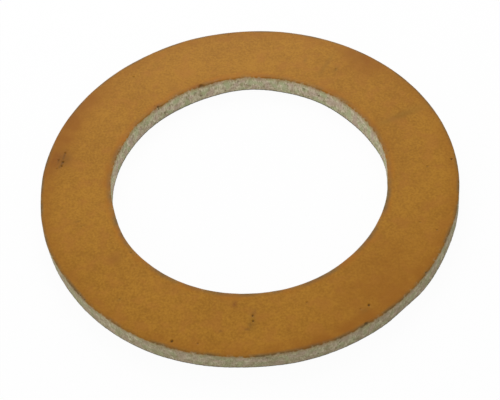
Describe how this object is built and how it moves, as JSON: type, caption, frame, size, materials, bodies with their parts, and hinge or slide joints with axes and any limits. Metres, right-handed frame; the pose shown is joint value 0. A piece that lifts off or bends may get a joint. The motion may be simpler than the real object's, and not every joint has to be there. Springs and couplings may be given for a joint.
{
  "type": "rubber flange gasket",
  "caption": "Flat ring gasket squeezed between flange faces to seal a pipe joint. It sits inside the flange bolts, with its bore round the mouth of the pipe.",
  "frame": {"origin": "on the axis of the bore, at the underside that the ring lies on", "axes": "+Z along the axis of the bore, from the underside to the upper face; +X is any radius"},
  "size_m": [0.063, 0.063, 0.003],
  "materials": {
    "gasket_sheet": "matte tan skin on the faces, pale khaki-grey cut walls"
  },
  "bodies": {
    "root": {"gasket_ring": "gasket_sheet"}
  },
  "joints": []
}
